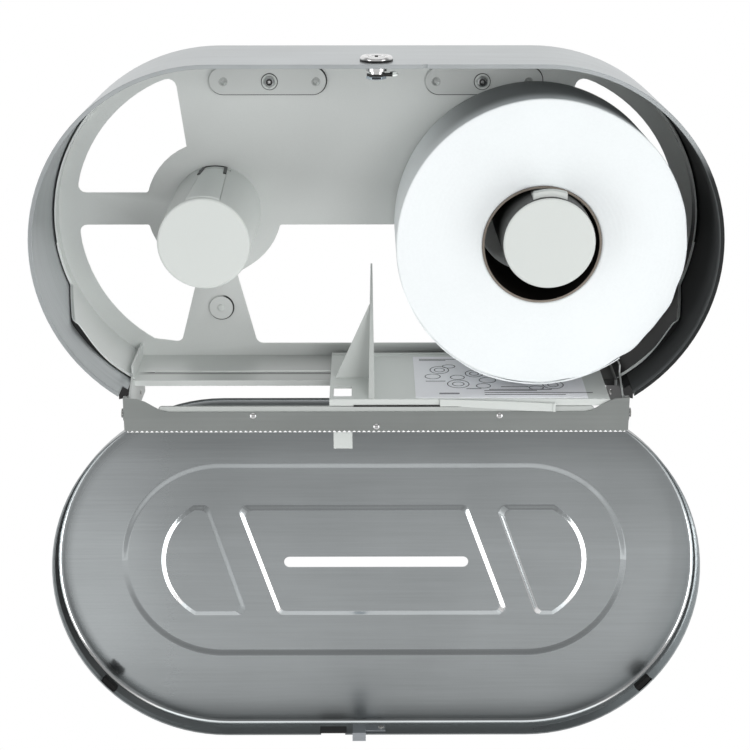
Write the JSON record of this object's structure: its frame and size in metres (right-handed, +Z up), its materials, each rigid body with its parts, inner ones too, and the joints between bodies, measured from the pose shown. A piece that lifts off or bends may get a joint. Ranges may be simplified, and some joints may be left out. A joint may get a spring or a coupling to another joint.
{
  "type": "jumbo toilet roll dispenser",
  "caption": "Wall-mounted twin jumbo toilet roll dispenser in stainless steel, its hinged front dropped open, with a sliding paper cover and a loaded roll.",
  "frame": {"origin": "centre of the cabinet outline on the wall face of the back plate", "axes": "+X to the right seen from the front, +Y into the wall, +Z up"},
  "size_m": [0.529, 0.1521, 0.5574],
  "materials": {
    "plate_steel": "satin",
    "cover_steel": "brushed",
    "plated_steel": "bright zinc plate",
    "lock_chrome": "polished",
    "pale_plastic": "fine matt",
    "slide_plastic": "fine matt",
    "bumper_rubber": "matt",
    "label_paper": "smooth",
    "tissue": "soft matt",
    "core_board": "matt"
  },
  "bodies": {
    "root": {"back_plate": "plate_steel", "housing_band": "cover_steel", "left_spindle": "pale_plastic", "right_spindle": "pale_plastic", "left_spindle_screw": "plated_steel", "right_spindle_screw": "plated_steel", "left_pad_washer": "plated_steel", "right_pad_washer": "plated_steel", "left_pad_screw": "plated_steel", "right_pad_screw": "plated_steel", "left_boss_button": "plated_steel", "right_boss_button": "plated_steel", "tear_bar": "plate_steel", "front_rail": "pale_plastic", "tear_bar_rivets": "plated_steel", "left_ear_rivet": "plated_steel", "right_ear_rivet": "plated_steel", "left_hinge_pin": "plated_steel", "right_hinge_pin": "plated_steel", "left_hinge_washer": "pale_plastic", "right_hinge_washer": "pale_plastic", "left_stop_pin": "plated_steel", "right_stop_pin": "plated_steel", "lock_body": "lock_chrome", "lock_nut": "plated_steel"},
    "door": {"door": "cover_steel", "door_catch": "plated_steel", "catch_rivets": "plated_steel", "left_door_bumper": "bumper_rubber", "right_door_bumper": "bumper_rubber"},
    "slide": {"tissue_slide": "slide_plastic", "slide_label": "label_paper"},
    "roll": {"tissue_roll": "tissue", "roll_core": "core_board"},
    "lock": {"lock_plug": "lock_chrome", "lock_cam": "plated_steel", "cam_nut": "plated_steel"},
    "left_finger": {"left_latch": "pale_plastic"},
    "right_finger": {"right_latch": "pale_plastic"}
  },
  "joints": [
    {"name": "door_hinge", "type": "hinge", "parent": "root", "child": "door", "pos_m": [0, -0.097, -0.135], "axis": [-1, 0, 0], "range_deg": [0, 171.3]},
    {"name": "slide_travel", "type": "slide", "parent": "root", "child": "slide", "axis": [-1, 0, 0], "range_m": [0, 0.15]},
    {"name": "roll_spin", "type": "hinge", "parent": "root", "child": "roll", "pos_m": [0.1275, -0.0495, 0.0007], "axis": [0, 1, 0], "continuous": true},
    {"name": "lock_turn", "type": "hinge", "parent": "root", "child": "lock", "pos_m": [0, -0.09, 0.135], "axis": [0, 0, -1], "range_deg": [0, 180]},
    {"name": "left_finger_press", "type": "hinge", "parent": "root", "child": "left_finger", "pos_m": [-0.1304, -0.007, 0.0364], "axis": [1, 0, 0], "range_deg": [0, 2], "stiffness_Nm_per_rad": 8},
    {"name": "right_finger_press", "type": "hinge", "parent": "root", "child": "right_finger", "pos_m": [0.1304, -0.007, 0.0364], "axis": [1, 0, 0], "range_deg": [0, 2], "stiffness_Nm_per_rad": 8}
  ]
}
